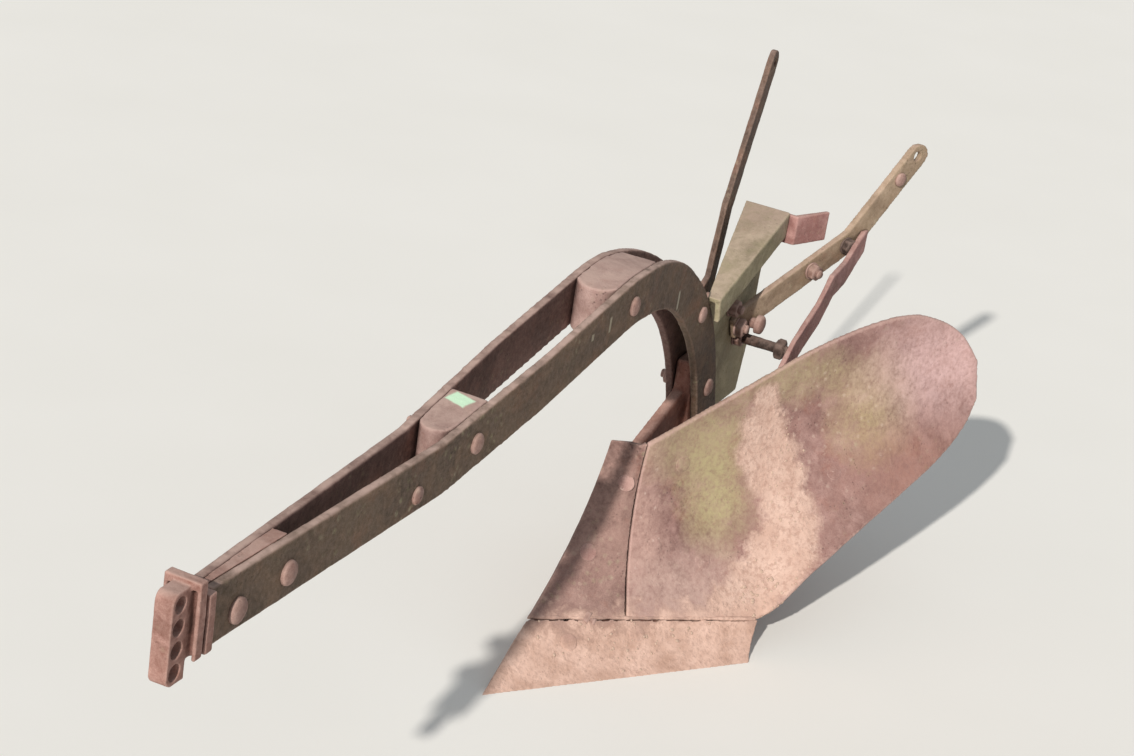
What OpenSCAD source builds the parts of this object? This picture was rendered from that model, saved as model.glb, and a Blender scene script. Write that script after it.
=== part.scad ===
// Left-hand walking plough with a two-bar steel beam. Its wooden handles are gone.
// Millimetres. +X is the way it is pulled, +Y is its left, +Z is up.
// The origin is on the sole of the landside, below the foot of the standard.

/* [Share] */
// Width of the furrow slice that the share cuts
cut_width = 226; // [200:1:250]
// Angle between the cutting edge and the direction of travel
cut_angle = 38.5; // [36:0.5:41]
// How far the share point lies ahead of the origin
point_x = 480; // [440:1:520]
// Thickness of the share
share_t = 9; // [7:0.5:11]
// Thickness of the worn cutting edge
edge_t = 3; // [2:0.5:4]
// How far behind the point the share meets the shin on the landside
share_seam_back = 104; // [96:1:112]
// Height of that place above the sole
share_seam_z = 59; // [54:1:64]
// Height of the upper corner at the wing
wing_z = 40; // [34:1:46]

/* [Moldboard] */
// How far behind the share point the moldboard's tail ends
tail_back = 706; // [670:1:740]
// How far the tail reaches out to the left
tail_out = 339; // [325:1:355]
// Height of the moldboard's highest place
tail_top_z = 377; // [360:1:395]
// Thickness of the moldboard
board_t = 7; // [5:0.5:9]
// Thickness of the shin
shin_t = 9; // [7:0.5:11]
// Height of the front end of the shin's top edge
shin_top_z = 240; // [230:1:250]
// How far that place lies behind the point
shin_top_back = 264; // [254:1:274]
// Width of the shin along its top edge
shin_top_w = 53; // [47:1:59]
// Share of the seam's length, from the landside, that the shin covers
shin_seam_part = 0.42; // [0.36:0.01:0.48]
// Gap left at the seams between share, shin and moldboard
seam_gap = 0.8; // [0.4:0.1:0.9]
// Factor on the hollow of the curved face
hollow = 1.0; // [0.8:0.05:1.2]

/* [Landside] */
// Thickness of the landside bar
landside_t = 12; // [10:0.5:14]
// Height of the landside bar
landside_h = 95; // [85:1:105]
// How far behind the point the landside ends
landside_back = 520; // [500:1:540]
// Length of the heel piece
heel_len = 110; // [95:1:125]
// Thickness of the heel piece
heel_t = 14; // [11:0.5:17]
// Height of the heel piece
heel_h = 62; // [54:1:70]

/* [Beam] */
// Depth of the beam bars
bar_depth = 58.5; // [54:0.5:63]
// Thickness of the beam bars
bar_t = 10; // [8:0.5:12]
// Height of the bars' top edge along the level front stretch
beam_top_z = 454; // [442:1:466]
// Clear gap between the bars at the front end
front_gap = 7; // [5:0.5:9]
// Widest clear gap between the bars, at the rear spacer
rear_gap = 50; // [46:1:54]
// Where the bars have splayed to that gap, ahead of the point
splay_end = 100; // [80:1:120]
// Clear gap between the legs of the standard
leg_gap = 25; // [22:1:28]
// Offset of the beam from the landside towards the moldboard
beam_y = 25; // [22:1:28]
// Distance of the bars' front ends ahead of the point
beam_front = 706; // [670:1:740]
// Where the bars start to rise, ahead of the point
rise_start = 305; // [285:1:325]
// Slope of the rising stretch
rise_angle = 7; // [6:0.5:8]
// Outer radius of the bend into the standard
bend_r = 365; // [355:1:375]
// How far behind the point the centre of the bend lies
bend_back = 148; // [140:1:156]
// Slant of the standard's legs, whose lower ends lie farther back
leg_slant = 22; // [20:0.5:24]
// Height of the lower ends of the legs
leg_end_z = 112; // [108:1:122]

/* [Hitch head] */
// Length of the tongue between the bars
tongue_len = 131; // [115:1:145]
// Thickness of each upright flange
flange_t = 12; // [10:1:14]
// Gap between the two flanges
flange_gap = 4; // [3:0.5:6]
// Height of the front flange
flange_h = 76; // [72:1:82]
// How far the front flange's middle lies above the beam's middle
flange_rise = 9; // [6:1:12]
// Width of the flanges
flange_w = 38; // [34:1:44]
// Depth of the grooves in the front flange beside the drilled plate
groove_depth = 8; // [6:0.5:9]
// Length of the drilled plate ahead of the flanges
plate_len = 27; // [24:1:32]
// Thickness of the drilled plate
plate_t = 19; // [16:1:22]
// How far the plate's middle lies below the beam's middle
plate_drop = 3; // [1:1:6]
// Diameter of the hitch holes
hitch_hole_d = 16; // [13:0.5:18]
// Spacing of the hitch holes
hitch_pitch = 22; // [21:0.5:25]
// Number of hitch holes
hitch_holes = 4; // [3:1:4]

/* [Spacers] */
// Front end of the middle spacer, ahead of the point
mid_spacer_front = 292; // [275:1:310]
// Length of the middle spacer
mid_spacer_len = 85; // [70:1:100]
// Front end of the rear spacer, behind the point
rear_spacer_back = 75; // [60:1:90]
// Length of the rear spacer
rear_spacer_len = 130; // [115:1:145]

/* [Frog] */
// Thickness of the frog's upright web
web_t = 16; // [12:1:20]
// Thickness of the seat behind the shin and moldboard
seat_t = 14; // [11:1:17]
// Height of the shank's top between the legs
shank_top_z = 298; // [285:1:310]
// How far the shank's top lies back from the legs' front edges
shank_recess = 14; // [8:1:18]
// Clearance between the frog and the plates that it carries
seat_clear = 0.4; // [0.3:0.1:0.5]

/* [Handle irons] */
// Width of the handle straps
strap_w = 32; // [28:1:36]
// Thickness of the handle straps
strap_t = 8; // [6:0.5:10]
// Splay of the left strap, seen from above
left_splay = 24; // [22:0.5:26]
// Splay of the right strap, which is bent inwards
right_splay = 5; // [4:0.5:7]
// Diameter of the holes for the handle bolts
strap_hole_d = 13; // [11:0.5:15]
// Thickness of the handle bracket
bracket_t = 7; // [5:0.5:9]
// Reach of the bracket's plate to the left of the beam's middle
bracket_out = 36; // [34:0.5:38]
// Reach of its rear end to the right of the beam's middle
bracket_right = 27; // [24:0.5:30]
// Width of the plate where it meets the bend
bracket_front_w = 16; // [15:0.5:20]
// Depth of the bracket's flange
bracket_end_h = 34; // [28:1:40]
// Height of the lower end of the bracket's web
bracket_low_z = 200; // [190:1:210]
// Length of the bracket
bracket_len = 223; // [212:1:234]
// Upward slope of the bracket
bracket_slope = 15.5; // [14:0.5:17]
// Diameter of the brace rod behind the moldboard
brace_d = 16; // [13:0.5:19]

/* [Hidden] */
$fn = 64;
far = 2000;

// Corner places of the face, measured back from the share point
wing_lean = [-41, -11];
shin_top_out = 6;
shin_top_way = [0.02, 0.94, 0.2];
late_part = 0.72;
wing = [-cut_width / tan(cut_angle), cut_width, 0];
seam_front = [-share_seam_back, 0, share_seam_z];
wing_top = wing + [wing_lean[0], wing_lean[1], wing_z];
shin_top = [-shin_top_back, shin_top_out, shin_top_z];
shin_top_end = shin_top + shin_top_w * shin_top_way;
seam_mid = seam_front + shin_seam_part * (wing_top - seam_front);
seam_late = seam_front + late_part * (wing_top - seam_front);

// Ways in which the face is hollowed, along the landside edge and elsewhere
edge_way = [-0.75, 0, -0.66];
hollow_way = [-0.72, -0.62, -0.32];
function unit(v) = v / norm(v);
function mix(a, b, f) = a + f * (b - a);

// Ribs of the face: foot, top, hollow
FOOT = 0;
TOP = 1;
DEEP = 2;
share_ribs = [
    [[0, 0, 0], seam_front, 2 * edge_way],
    [mix([0, 0, 0], wing, shin_seam_part), seam_mid, 4 * hollow_way],
    [mix([0, 0, 0], wing, late_part), seam_late, 5 * hollow_way],
    [wing, wing_top, 4 * hollow_way]
];
// A place of the moldboard in parts of the tail's reach back, its reach out and the top's height
function tail_at(back, out, up) = [-tail_back * back, tail_out * out, tail_top_z * up];
// The shin takes the first two stretches and the moldboard the rest
SEAM = 2;
face_ribs = [
    [seam_front, shin_top, 22 * edge_way],
    [mix(seam_front, seam_mid, 0.5), mix(shin_top, shin_top_end, 0.5), 22 * mix(edge_way, hollow_way, 0.5)],
    [seam_mid, shin_top_end, 24 * hollow_way],
    [seam_late, tail_at(0.455, 0.260, 0.729), 30 * hollow_way],
    [wing_top, tail_at(0.567, 0.389, 0.822), 34 * hollow_way],
    [tail_at(0.547, 0.749, 0.244), tail_at(0.666, 0.507, 0.907), 34 * hollow_way],
    [tail_at(0.671, 0.838, 0.353), tail_at(0.765, 0.634, 0.973), 30 * hollow_way],
    [tail_at(0.802, 0.909, 0.432), tail_at(0.858, 0.752, 1), 22 * hollow_way],
    [tail_at(0.907, 0.956, 0.496), tail_at(0.922, 0.841, 0.966), 13 * hollow_way],
    [tail_at(0.975, 0.985, 0.573), tail_at(0.965, 0.912, 0.907), 5 * hollow_way],
    [tail_at(1, 1, 0.674), tail_at(0.996, 0.973, 0.812), 1 * hollow_way]
];

function clamp_index(i, n) = max(0, min(n, i));
function rib_point(rib, v) =
    mix(rib[FOOT], rib[TOP], v) + hollow * 4 * v * (1 - v) * rib[DEEP];
function ahead(ribs, i, v) = i < 0
    ? 2 * rib_point(ribs[0], v) - rib_point(ribs[1], v)
    : i > len(ribs) - 1
        ? 2 * rib_point(ribs[len(ribs) - 1], v) - rib_point(ribs[len(ribs) - 2], v)
        : rib_point(ribs[i], v);
function spline(a, b, c, d, f) =
    0.5 * (2 * b + f * (c - a) + f * f * (2 * a - 5 * b + 4 * c - d)
        + f * f * f * (3 * b - a - 3 * c + d));

// A point of the face: u counts the ribs, v runs from foot to top
function face_at(ribs, u, v) =
    let (i = clamp_index(floor(u), len(ribs) - 2), f = u - i)
    spline(ahead(ribs, i - 1, v), ahead(ribs, i, v), ahead(ribs, i + 1, v), ahead(ribs, i + 2, v), f);
function face_normal(ribs, u, v) =
    let (e = 0.02, last = len(ribs) - 1,
         du = face_at(ribs, min(last, u + e), v) - face_at(ribs, max(0, u - e), v),
         dv = face_at(ribs, u, min(1, v + e)) - face_at(ribs, u, max(0, v - e)))
    unit(cross(du, dv));

// Rows of points at a depth behind the face, between the limits [from, to] of u and v
function face_rows(ribs, us, vs, nu, nv, depth) =
    [for (i = [0 : nu])
        [for (j = [0 : nv])
            let (u = mix(us[0], us[1], i / nu), v = mix(vs[0], vs[1], j / nv))
            face_at(ribs, u, v) - depth * face_normal(ribs, u, v)]];
function shifted(rows, way) = [for (row = rows) [for (p = row) p + way]];

// Closed solid between two sheets of points of the same size
module between(front, back) {
    nu = len(front) - 1;
    nv = len(front[0]) - 1;
    w = nv + 1;
    sheet = (nu + 1) * w;
    points = [for (rows = [front, back]) for (row = rows) for (p = row) p];
    faces = [
        for (i = [0 : nu - 1]) for (j = [0 : nv - 1]) let (a = i * w + j) each [
            [a, a + w + 1, a + w],
            [a, a + 1, a + w + 1],
            [sheet + a, sheet + a + w, sheet + a + w + 1],
            [sheet + a, sheet + a + w + 1, sheet + a + 1]
        ],
        for (i = [0 : nu - 1]) let (a = i * w, b = i * w + nv) each [
            [a, sheet + a + w, sheet + a],
            [a, a + w, sheet + a + w],
            [b, sheet + b + w, b + w],
            [b, sheet + b, sheet + b + w]
        ],
        for (j = [0 : nv - 1]) let (a = j, b = nu * w + j) each [
            [a, sheet + a + 1, a + 1],
            [a, sheet + a, sheet + a + 1],
            [b, sheet + b + 1, sheet + b],
            [b, b + 1, sheet + b + 1]
        ]
    ];
    polyhedron(points, faces, convexity = 6);
}

module plate(ribs, us, vs, nu, nv, t)
    between(face_rows(ribs, us, vs, nu, nv, 0), face_rows(ribs, us, vs, nu, nv, t));

// Places the plough about its origin and cuts off whatever would reach below the sole
module placed() translate([point_x, 0, 0]) children();
module above_sole() difference() {
    children();
    translate([-far, -far, -far]) cube([2 * far, 2 * far, far]);
}
// A flat outline in X and Z, given a thickness from y to y + t
module upright(y, t) translate([0, y + t, 0]) rotate([90, 0, 0]) linear_extrude(t) children();

// Beam
bend_z = beam_top_z + (rise_start + bend_back) * tan(rise_angle) - bend_r / cos(rise_angle);
bend_centre = [-bend_back, bend_z];
inner_r = bend_r - bar_depth;
beam_mid_z = beam_top_z - bar_depth / 2;
function on_bend(r, angle) = bend_centre + r * [-cos(angle), sin(angle)];
function on_leg(r, z) = let (top = on_bend(r, leg_slant)) top - (top[1] - z) * [tan(leg_slant), 1];
function knee(drop) = [rise_start - drop * tan(rise_angle / 2), beam_top_z - drop];

// The bars from the side: front stretch, bend and leg in one outline
bend_steps = 25;
function bend_points(r) =
    [for (i = [0 : bend_steps]) on_bend(r, mix(90 + rise_angle, leg_slant, i / bend_steps))];
module bar_profile() polygon(concat(
    [[beam_front, beam_top_z - bar_depth], [beam_front, beam_top_z], knee(0)],
    bend_points(bend_r),
    [on_leg(bend_r, leg_end_z), on_leg(inner_r, leg_end_z)],
    [for (i = [bend_steps : -1 : 0]) bend_points(inner_r)[i]],
    [knee(bar_depth)]
));

// Half the gap between the bars at the places where it changes
front_half = front_gap / 2;
rear_half = rear_gap / 2;
leg_half = leg_gap / 2;
close_after = 22;
close_run = 175;
close_start = -bend_back - close_after;
close_end = close_start - close_run;
head_back = beam_front - tongue_len;

// Plan of one bar, or of the gap between the bars, as outline in X and Y
function bar_line(side, out) = [
    [beam_front, beam_y + side * (front_half + out)],
    [splay_end, beam_y + side * (rear_half + out)],
    [close_start, beam_y + side * (rear_half + out)],
    [close_end, beam_y + side * (leg_half + out)],
    [-far, beam_y + side * (leg_half + out)]
];
module bar_plan(side) polygon(concat(
    bar_line(side, 0),
    [for (i = [4 : -1 : 0]) bar_line(side, bar_t)[i]]
));
module gap_plan() polygon(concat(
    bar_line(1, 0),
    [for (i = [4 : -1 : 0]) bar_line(-1, 0)[i]]
));
module beam_bar(side) intersection() {
    upright(-far / 2, far) bar_profile();
    translate([0, 0, -far / 2]) linear_extrude(far) bar_plan(side);
}

module beam_bar_left() color("#6b5140") placed() beam_bar(1);
module beam_bar_right() color("#6b5140") placed() beam_bar(-1);

// Hitch head: tongue, two flanges with a web, and the drilled plate
front_flange_x = beam_front + flange_t + flange_gap;
plate_x = front_flange_x + flange_t;
head_front = plate_x + plate_len;
hole_rim = 4.5;
hole_x = head_front - hitch_hole_d / 2 - hole_rim;
plate_h = (hitch_holes - 1) * hitch_pitch + hitch_hole_d + 2 * hole_rim;
plate_mid_z = beam_mid_z - plate_drop;
groove_w = 5.5;
bite = 1;
groove_roof = 9;
web_inset = 6;
module head_block(x, length, w, h)
    translate([x, beam_y - w / 2, beam_mid_z - h / 2]) cube([length, w, h]);
module hitch_head() color("#7a4638") placed() difference() {
    union() {
        intersection() {
            translate([0, 0, beam_top_z - bar_depth]) linear_extrude(bar_depth) gap_plan();
            translate([head_back, -far / 2, 0]) cube([tongue_len, far, far]);
        }
        head_block(beam_front - flange_t / 2, flange_t, front_gap, bar_depth);
        head_block(beam_front, flange_t, flange_w, bar_depth);
        head_block(beam_front, flange_t + flange_gap + flange_t, flange_w - 2 * web_inset, bar_depth - web_inset);
        translate([0, 0, flange_rise]) head_block(front_flange_x, flange_t, flange_w, flange_h);
        upright(beam_y - plate_t / 2, plate_t) translate([plate_x - bite, plate_mid_z - plate_h / 2]) drilled_outline();
    }
    for (side = [-1, 1])
        translate([plate_x - groove_depth, beam_y + side * (plate_t + groove_w) / 2 - groove_w / 2, 0])
            cube([far, groove_w, beam_mid_z + flange_rise + flange_h / 2 - groove_roof]);
    for (i = [0 : hitch_holes - 1])
        translate([hole_x, 0, plate_mid_z + (i - (hitch_holes - 1) / 2) * hitch_pitch])
            rotate([90, 0, 0]) cylinder(d = hitch_hole_d, h = far, center = true);
}
module drilled_outline() {
    r = 10;
    len = plate_len + bite;
    square([len - r, plate_h]);
    translate([0, r]) square([len, plate_h - 2 * r]);
    for (y = [r, plate_h - r]) translate([len - r, y]) circle(r);
}

// Spacers cast to the gap between the bars, with rounded fronts
module spacer(front, length, r) intersection() {
    upright(-far / 2, far) bar_profile();
    translate([0, 0, -far / 2]) linear_extrude(far) intersection() {
        gap_plan();
        union() {
            translate([front - length, -far / 2]) square([length - r, far]);
            translate([front - r, beam_y]) circle(r);
        }
    }
}
mid_nose_r = rear_half - 6;
rear_nose_r = rear_half + 3;
module middle_spacer() color("#7d5c49") placed() spacer(mid_spacer_front, mid_spacer_len, mid_nose_r);
module rear_spacer() color("#7b5648") placed() spacer(-rear_spacer_back, rear_spacer_len, rear_nose_r);

// Share with its plate and the upright flank on the landside
flank_over = 14;
flank_front = 26;
flank_below = share_t + 8;
flank_back = share_seam_back + flank_over;
module share() color("#b08a76") placed() above_sole() {
    between(share_rows(0, 0), share_rows(1, share_bevel));
    upright(-landside_t / 2, landside_t) polygon([
        [-flank_front, 0],
        [-flank_back, 0],
        [-flank_back, share_seam_z - flank_below],
        [-flank_back + 10, share_seam_z - flank_below + 4]
    ]);
}
// Rows of the share's face (side 0) or back (side 1), whose top edge is cut back by a bevel
share_bevel = 0.24;
edge_part = 0.4;
function share_rows(side, bevel) =
    [for (i = [0 : 12])
        [for (j = [0 : 5])
            let (u = i / 4, v = (1 - bevel - seam_gap / share_seam_z) * j / 5,
                 t = mix(edge_t, share_t, min(1, v / edge_part)))
            face_at(share_ribs, u, v) - side * t * face_normal(share_ribs, u, v)]];

// Shin and moldboard
shin_rise = norm(shin_top - seam_front);
module shin() color("#7b5146") placed()
    plate(face_ribs, [0, SEAM - 2 * seam_gap / shin_top_w], [seam_gap / shin_rise, 1], 6, 14, shin_t);
module moldboard() color("#86604f") placed()
    plate(face_ribs, [SEAM, len(face_ribs) - 1], [seam_gap / shin_rise, 1], 32, 14, board_t);

// Landside and its heel
landside_front = flank_back;
landside_nose = 66;
module landside() color("#6a4a3c") placed() upright(-landside_t / 2, landside_t) polygon([
    [-landside_front, 0],
    [-landside_back, 0],
    [-landside_back, landside_h],
    [-landside_front - landside_nose, landside_h],
    [-landside_front, share_seam_z - flank_below]
]);
heel_over = 40;
module landside_heel() color("#5f463a") placed()
    upright(landside_t / 2, heel_t) translate([-landside_back - heel_over, 0]) {
    r = 18;
    translate([r, 0]) square([heel_len - r, heel_h]);
    translate([0, r]) square([heel_len, heel_h - r]);
    translate([r, r]) circle(r);
}

// Frog: seat behind the plates, web on the landside, neck and shank between the legs
heel_gap = 4;
leg_gap_z = 4;
foot_z = 14;
toe_back = flank_back + 6;
web_slope = 78;
shank_toe = 34;
foot_over = 12;
foot_step = 8;
web_back = -landside_back - heel_over + heel_len + heel_gap;
web_top = leg_end_z - leg_gap_z;
shank_y = beam_y - leg_half;
shank_front = on_leg(inner_r, shank_top_z)[0] - shank_recess;
shank_foot_back = on_leg(bend_r, leg_end_z)[0] + foot_over;
module frog() color("#8a4a38") placed() difference() {
    union() {
        seat();
        upright(landside_t / 2, web_t) polygon([
            [-toe_back, foot_z],
            [web_back, foot_z],
            [web_back, web_top],
            [-toe_back - web_slope, web_top],
            [-toe_back, share_seam_z]
        ]);
        // Neck, from the foot up to the plates' seat and back to the shank
        upright(shank_y, web_t) polygon([
            [-toe_back - shank_toe, share_seam_z],
            [-toe_back - 94, shank_toe],
            [web_back, shank_toe],
            [web_back, heel_h + foot_step],
            [shank_foot_back, web_top - foot_step],
            [shank_foot_back, web_top + 30],
            [shank_front, shin_top_z + foot_z],
            [shank_front + 90, shin_top_z - foot_over],
            [-shin_top_back, shin_top_z - 30]
        ]);
        // Shank between the legs
        upright(shank_y, leg_gap) polygon([
            [shank_front, shank_top_z],
            [shank_front - foot_z, web_top - foot_step],
            [shank_foot_back, web_top - foot_step],
            [shank_foot_back, web_top + 20],
            [on_leg(bend_r, shank_top_z)[0] + foot_z, shank_top_z]
        ]);
    }
    plate_room();
    // Room for the landside
    translate([-far, -far, 0]) cube([2 * far, far + landside_t / 2, landside_h + 1]);
}
// Everything from just behind the plates forwards
room_way = [120, 110, 30];
module room(ribs, us, vs, nu, nv, t) {
    back = face_rows(ribs, us, vs, nu, nv, t + seat_clear);
    between(shifted(back, room_way), back);
}
module plate_room() {
    room(share_ribs, [0, 3], [0, 1.08], 12, 5, share_t + seat_clear);
    room(face_ribs, [0, SEAM], [seam_gap / shin_rise, 1], 6, 14, shin_t);
    room(face_ribs, [SEAM, SEAM + 4], [seam_gap / shin_rise, 1], 16, 14, board_t);
}
module seat() {
    way = -seat_t * unit(room_way);
    face_back = face_rows(face_ribs, [0.3, SEAM + 1.6], [-0.06, 0.88], 14, 14, board_t);
    between(face_back, shifted(face_back, way));
    share_back = face_rows(share_ribs, [0.5, 2.2], [0.45, 1], 6, 3, share_t + seat_clear);
    above_sole() between(share_back, shifted(share_back, way));
}

// Brace from the landside to the moldboard's back
foot_pad = [60, 9, 40];
brace_foot = [web_back + 40, shank_y + web_t, landside_h * 0.6];
pad_t = 14;
brace_u = SEAM + 3.6;
brace_v = 0.35;
module rod(a, b, d) {
    run = b - a;
    flat = norm([run[0], run[1]]);
    translate(a) rotate([0, atan2(flat, run[2]), atan2(run[1], run[0])])
        cylinder(d = d, h = norm(run));
}
stay_u = SEAM + 2.5;
stay_v = 0.84;
function board_back_at(u, v, depth) =
    face_at(face_ribs, u, v) - (board_t + seat_clear + depth) * face_normal(face_ribs, u, v);
module board_pad(u, v, du, dv, t) {
    rows = face_rows(face_ribs, [u - du, u + du], [v - dv, v + dv], 4, 4, board_t + seat_clear);
    between(rows, shifted(rows, -t * unit(room_way)));
}
module moldboard_brace() color("#6e4a3b") placed() {
    end = board_back_at(brace_u, brace_v, pad_t - 2);
    board_pad(brace_u, brace_v, 0.25, 0.12, pad_t);
    rod(brace_foot + [0, foot_pad[1] - 2, 0], end, brace_d);
    translate(brace_foot - [foot_pad[0] / 2, 0, foot_pad[2] / 2]) cube(foot_pad);
}

// Handle bracket: a skew plate behind the bend, with a web between and behind the legs.
// In the plate's own frame X runs back along its underside and Y up from it.
bracket_angle = 42.6;
bracket_gap = 0.5;
bracket_foot = on_bend(bend_r + bracket_gap, bracket_angle);
bracket_rear_x = bracket_foot[0] - bracket_len * cos(bracket_slope);
web_out = leg_half - bracket_gap;
shank_gap = 6;
module on_bracket() translate(bracket_foot) rotate(180 - bracket_slope) mirror([0, 1]) children();
function under_bracket(x) = [x, bracket_foot[1] + (bracket_foot[0] - x) * tan(bracket_slope)];
leg_rear_x = on_leg(bend_r, shank_top_z)[0];
// How far the web reaches ahead of and behind the leg's rear edge at the shank's top
web_ahead = 46;
web_behind = 150;
web_front_h = 56;
web_rear_h = 70;
web_top_bite = 1;
module bracket_web() polygon([
    [leg_rear_x + web_ahead, shank_top_z + shank_gap],
    [leg_rear_x + web_ahead, shank_top_z + shank_gap + web_front_h],
    under_bracket(leg_rear_x - 2 * bracket_t) + [0, web_top_bite],
    under_bracket(bracket_rear_x) + [bracket_t / 2, web_top_bite],
    under_bracket(bracket_rear_x) + [bracket_t / 2, bracket_t - bracket_end_h],
    [leg_rear_x - web_behind, bracket_low_z + web_rear_h],
    [leg_rear_x - web_behind + 2 * bracket_t, bracket_low_z],
    [on_leg(bend_r, bracket_low_z)[0] - bracket_t, bracket_low_z],
    [leg_rear_x - bracket_t, shank_top_z + shank_gap]
]);
module handle_bracket() color("#77704f") placed() {
    intersection() {
        upright(-far / 2, far) on_bracket() square([bracket_len + bracket_t, bracket_t]);
        linear_extrude(far) translate([0, beam_y]) polygon([
            [bracket_foot[0] + bracket_t, bracket_out - bracket_t / 2],
            [bracket_rear_x, bracket_out - bracket_t / 2],
            [bracket_rear_x, -bracket_right],
            [bracket_foot[0] + bracket_t, bracket_out - bracket_front_w]
        ]);
    }
    upright(beam_y + bracket_out - bracket_t, bracket_t) difference() {
        on_bracket() translate([0, bracket_t - bracket_end_h]) square([bracket_len + bracket_t, bracket_end_h]);
        translate([bracket_rear_x - far, -far]) square([far, 2 * far]);
    }
    upright(beam_y + web_out - bracket_t, bracket_t) bracket_web();
}

// Handle straps: on edge, splayed, bent upward and holed at the end. The left one is fixed
// to the bracket's web and the right one to the leg. Their paths are centre lines in X and Z.
left_start = [leg_rear_x - 62, shank_top_z + 14];
right_start = [leg_rear_x + 18, shank_top_z + 24];
left_path = [for (q = [[0, 0], [-187, 98], [-279, 206]]) left_start + q];
right_path = [for (q = [[0, 0], [-104, 36], [-128, 134], [-231, 306]]) right_start + q];
left_in = web_out;
right_in = leg_half + bar_t;
splay_after = 12;
function turned(v) = [-v[1], v[0]];
function path_way(path, i) = unit(path[min(i, len(path) - 2) + 1] - path[min(i, len(path) - 2)]);
function beside(path, i, d) =
    let (a = turned(path_way(path, max(0, i - 1))), b = turned(path_way(path, i)))
    path[i] + d * (a + b) / (1 + a * b);
module strap_outline(path, w) {
    last = len(path) - 1;
    way = path_way(path, last);
    polygon(concat(
        [for (i = [0 : last]) beside(path, i, -w / 2)],
        [for (a = [15 : 15 : 165]) path[last] + w / 2 * (sin(a) * way - cos(a) * turned(way))],
        [for (i = [last : -1 : 0]) beside(path, i, w / 2)]
    ));
}
// Distance of a strap's inner face from the beam's mid-plane
function strap_out(path, inner, splay, x) = inner + max(0, path[0][0] - splay_after - x) * tan(splay);
module strap(side, inner, splay, path) {
    last = path[len(path) - 1];
    bend_x = path[0][0] - splay_after;
    start_x = path[0][0] + strap_w;
    end_x = last[0] - strap_w;
    end_out = strap_out(path, inner, splay, end_x);
    difference() {
        intersection() {
            upright(-far / 2, far) strap_outline(path, strap_w);
            linear_extrude(far) translate([0, beam_y]) polygon([
                [start_x, side * inner],
                [bend_x, side * inner],
                [end_x, side * end_out],
                [end_x, side * (end_out + strap_t / cos(splay))],
                [bend_x + strap_t * tan(splay / 2), side * (inner + strap_t)],
                [start_x, side * (inner + strap_t)]
            ]);
        }
        translate([last[0], beam_y + side * strap_out(path, inner, splay, last[0]), last[1]])
            rotate([0, 0, -side * splay]) rotate([90, 0, 0])
                cylinder(d = strap_hole_d, h = 8 * strap_t, center = true);
    }
}
module handle_strap_left() color("#7d5f4c") placed() strap(1, left_in, left_splay, left_path);
module handle_strap_right() color("#4a3a31") placed() strap(-1, right_in, right_splay, right_path);
function left_strap_y(x) = beam_y + strap_out(left_path, left_in, left_splay, x);

// Cross piece: from the bracket's rear end to the left strap, with an ear along that strap
cross_w = 40;
cross_t = 6;
ear_len = 56;
cross_inset = 8;
module strap_cross_piece() color("#8e5450") placed() {
    x = bracket_rear_x;
    top = under_bracket(x)[1] + 4;
    translate([0, 0, top - cross_w]) linear_extrude(cross_w) polygon([
        [x, beam_y - bracket_right + cross_inset],
        [x, left_strap_y(x)],
        [x - ear_len, left_strap_y(x - ear_len)],
        [x - ear_len, left_strap_y(x - ear_len) - cross_t],
        [x - cross_t, left_strap_y(x) - cross_t],
        [x - cross_t, beam_y - bracket_right + cross_inset]
    ]);
}

// Stay from the moldboard's back to the left strap's outer face, on which its end is trimmed
stay_w = 34;
stay_t = 7;
stay_x = left_path[1][0] - stay_w / 2;
strap_across = strap_t / cos(left_splay);
stay_top = [stay_x, left_strap_y(stay_x) + strap_across, left_path[1][1] - 4];
// The stay's bends, in parts of its run back and of its rise
stay_bends = [[0, 0], [0.22, 0.35], [0.48, 0.55], [0.62, 0.76], [0.78, 0.80], [1, 1]];
module moldboard_stay() color("#93604f") placed() {
    end = board_back_at(stay_u, stay_v, pad_t - 2);
    board_pad(stay_u, stay_v, 0.3, 0.1, pad_t);
    difference() {
        intersection() {
            upright(-far / 2, far) strap_outline(
                [for (q = stay_bends) [mix(end[0], stay_top[0], q[0]), mix(end[2], stay_top[2], q[1])]], stay_w);
            linear_extrude(far) polygon([
                [end[0] + stay_w, end[1] - stay_t / 2],
                [end[0], end[1] - stay_t / 2],
                [stay_top[0] - stay_w, stay_top[1] - stay_t / 2],
                [stay_top[0] - stay_w, stay_top[1] + stay_t / 2],
                [end[0], end[1] + stay_t / 2],
                [end[0] + stay_w, end[1] + stay_t / 2]
            ]);
        }
        linear_extrude(far) polygon([
            [0, left_strap_y(left_path[0][0]) + strap_across],
            [left_path[0][0] - splay_after, left_strap_y(left_path[0][0]) + strap_across],
            [stay_x - far, left_strap_y(stay_x - far) + strap_across],
            [stay_x - far, -far],
            [0, -far]
        ]);
    }
}

beam_bar_left();
beam_bar_right();
hitch_head();
middle_spacer();
rear_spacer();
frog();
share();
shin();
moldboard();
landside();
landside_heel();
moldboard_brace();
handle_bracket();
handle_strap_left();
handle_strap_right();
strap_cross_piece();
moldboard_stay();
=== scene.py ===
"""Looks of the walking plough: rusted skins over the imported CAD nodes, bolts, dirt, light and camera."""

import math
import random

import bmesh
import bpy
from mathutils import Matrix, Vector, noise
from mathutils.bvhtree import BVHTree


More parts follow.
